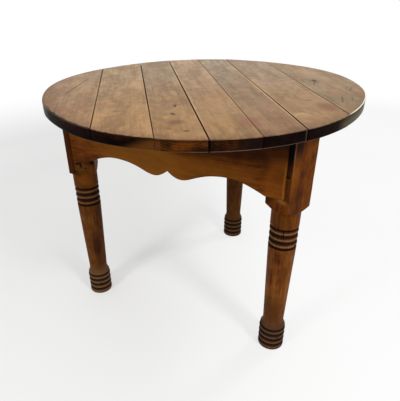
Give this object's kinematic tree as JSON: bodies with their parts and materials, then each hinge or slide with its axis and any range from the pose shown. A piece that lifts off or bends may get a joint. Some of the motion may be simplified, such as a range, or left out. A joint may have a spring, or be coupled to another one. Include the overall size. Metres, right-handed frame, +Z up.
{
  "type": "cricket table",
  "caption": "Round plank-topped wooden table on turned legs with ringed feet and square blocks, tied by aprons with a scalloped lower edge, for dining or kitchen use.",
  "frame": {"origin": "on the floor under the middle of the round top", "axes": "+Z up; the left leg stands on -X, the other two legs at 60 degrees either side of +X; the top boards run along Y, turned on it by 2.1 degrees"},
  "size_m": [0.921, 0.9209, 0.74],
  "materials": {
    "top_wood": "worn waxed light brown boards",
    "apron_wood": "waxed warm orange-brown",
    "leg_wood": "waxed dark red-brown, turned",
    "inner_wood": "unfinished, aged",
    "peg_wood": "dark end grain",
    "screw_iron": "dull dark iron"
  },
  "bodies": {
    "root": {"top_board_1": "top_wood", "top_board_2": "top_wood", "top_board_3": "top_wood", "top_board_4": "top_wood", "top_board_5": "top_wood", "top_board_6": "top_wood", "top_board_7": "top_wood", "tongue_1": "inner_wood", "tongue_2": "inner_wood", "tongue_3": "inner_wood", "tongue_4": "inner_wood", "tongue_5": "inner_wood", "tongue_6": "inner_wood", "front_batten": "inner_wood", "back_batten": "inner_wood", "batten_screw_1": "screw_iron", "batten_screw_2": "screw_iron", "batten_screw_3": "screw_iron", "batten_screw_4": "screw_iron", "batten_screw_5": "screw_iron", "batten_screw_6": "screw_iron", "batten_screw_7": "screw_iron", "batten_screw_8": "screw_iron", "batten_screw_9": "screw_iron", "batten_screw_10": "screw_iron", "left_leg": "leg_wood", "right_leg": "leg_wood", "back_leg": "leg_wood", "front_apron": "apron_wood", "right_apron": "apron_wood", "back_apron": "apron_wood", "front_apron_left_leg_peg": "peg_wood", "front_apron_right_leg_peg": "peg_wood", "right_apron_right_leg_peg": "peg_wood", "right_apron_back_leg_peg": "peg_wood", "back_apron_back_leg_peg": "peg_wood", "back_apron_left_leg_peg": "peg_wood", "front_apron_left_leg_glue_block": "inner_wood", "front_apron_right_leg_glue_block": "inner_wood", "right_apron_right_leg_glue_block": "inner_wood", "right_apron_back_leg_glue_block": "inner_wood", "back_apron_back_leg_glue_block": "inner_wood", "back_apron_left_leg_glue_block": "inner_wood"}
  },
  "joints": []
}
